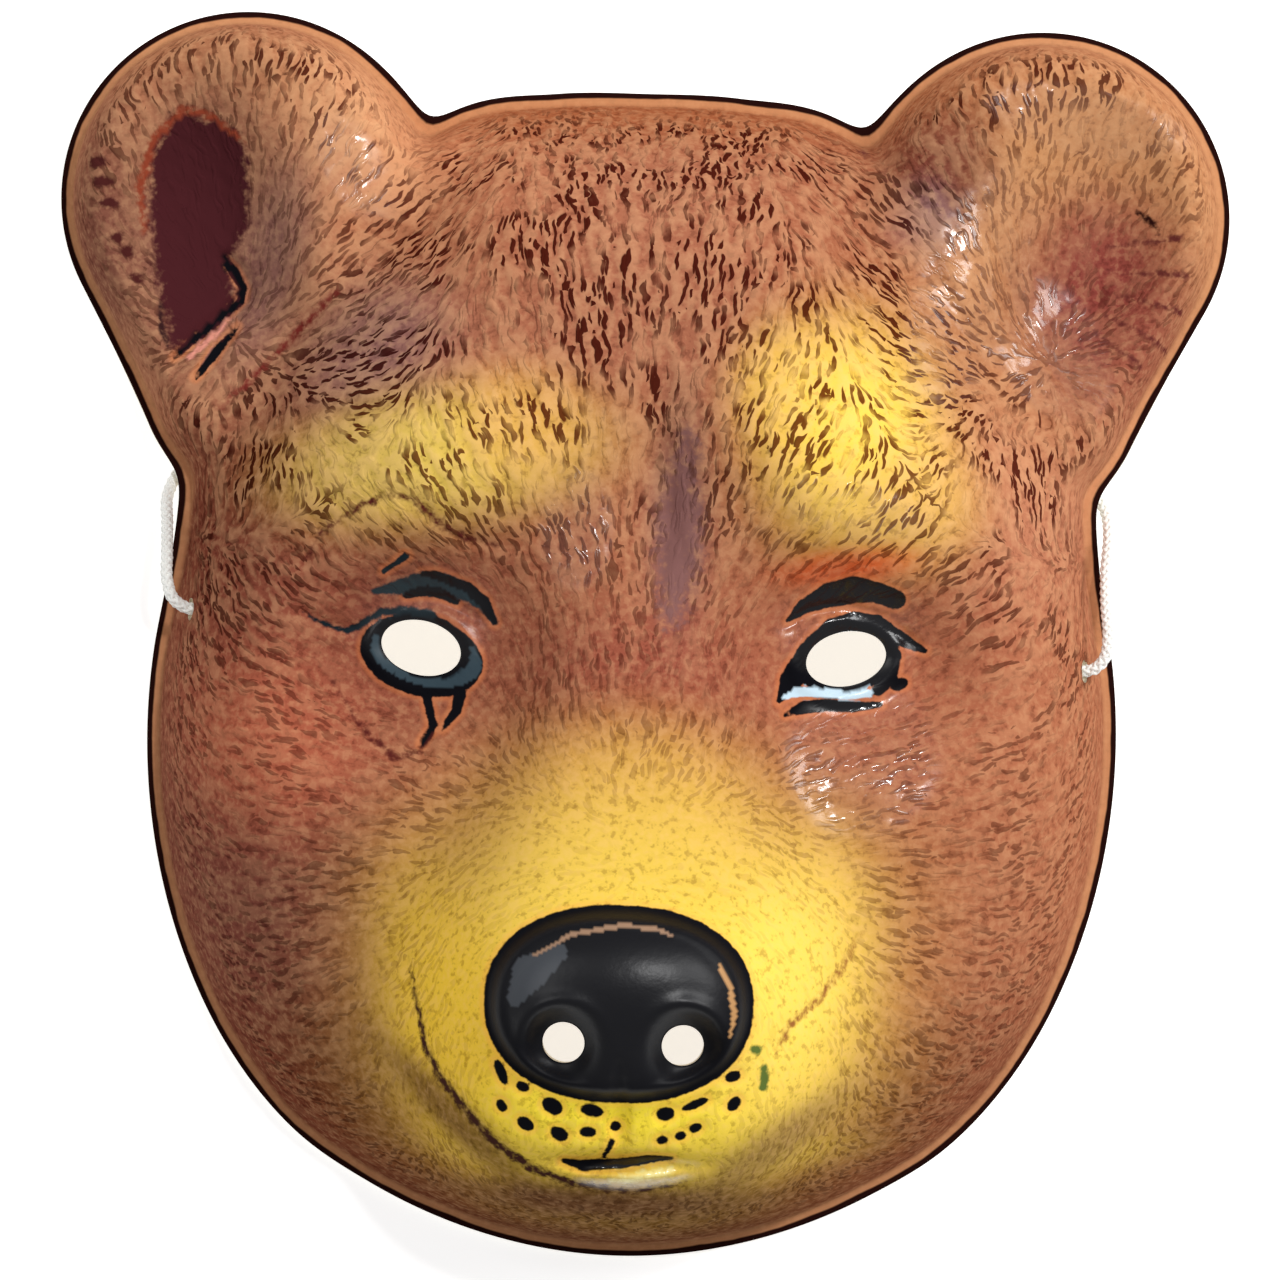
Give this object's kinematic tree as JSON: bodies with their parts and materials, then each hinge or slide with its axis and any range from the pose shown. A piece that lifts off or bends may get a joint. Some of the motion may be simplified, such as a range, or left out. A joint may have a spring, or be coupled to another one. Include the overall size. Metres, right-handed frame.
{
  "type": "bear mask",
  "caption": "Moulded plastic bear face mask with round ears, eye holes, nostril holes in a raised muzzle, and a white elastic that goes round the head.",
  "frame": {"origin": "on the surface the mask lies on, under the middle of the box of its shell", "axes": "+Z out of the face, +Y from the chin towards the ears, +X towards the picture's right; the mask lies face up on its rim"},
  "size_m": [0.1794, 0.1894, 0.0686],
  "materials": {
    "fur_brown": "glossy painted plastic sheet, moulded with fur",
    "elastic_white": "braided round elastic"
  },
  "bodies": {
    "root": {"mask_shell": "fur_brown", "elastic": "elastic_white", "knot_left": "elastic_white", "knot_right": "elastic_white"}
  },
  "joints": []
}
